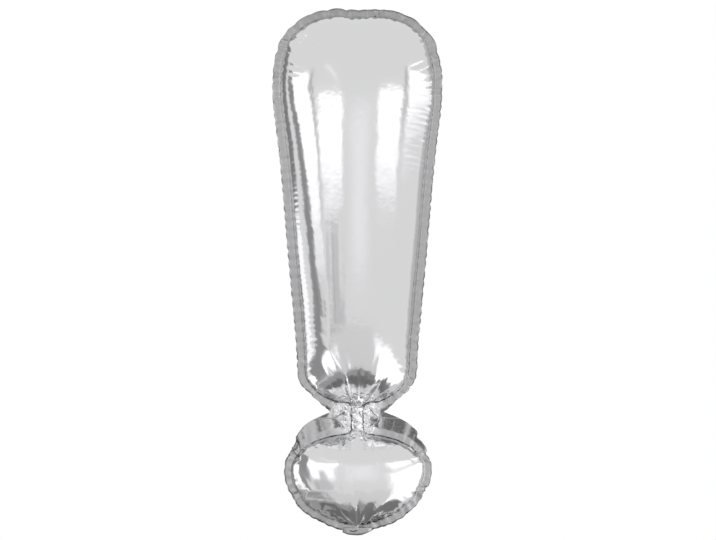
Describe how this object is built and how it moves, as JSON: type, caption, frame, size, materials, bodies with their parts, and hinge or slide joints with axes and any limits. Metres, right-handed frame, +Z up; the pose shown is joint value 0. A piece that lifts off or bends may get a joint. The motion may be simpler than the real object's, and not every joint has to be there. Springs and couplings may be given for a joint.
{
  "type": "foil symbol balloon",
  "caption": "Silver foil balloon shaped as an exclamation mark: a tapered bar, a narrow neck and an oval dot inside a scalloped sealed margin, with a folded filling tail.",
  "frame": {"origin": "centre of the gas inside, where the lift of the surrounding air acts", "axes": "+Z up along the bar, +Y out of the back sheet, +X to the right seen from the front"},
  "size_m": [0.2812, 0.2112, 0.8608],
  "materials": {
    "silver_film": "bright vacuum-metallised film",
    "clear_film": "clear soft film"
  },
  "bodies": {
    "root": {"front_foil": "silver_film", "back_foil": "silver_film", "tail_front_flap": "silver_film", "tail_back_flap": "silver_film", "valve_film": "clear_film"}
  },
  "joints": []
}
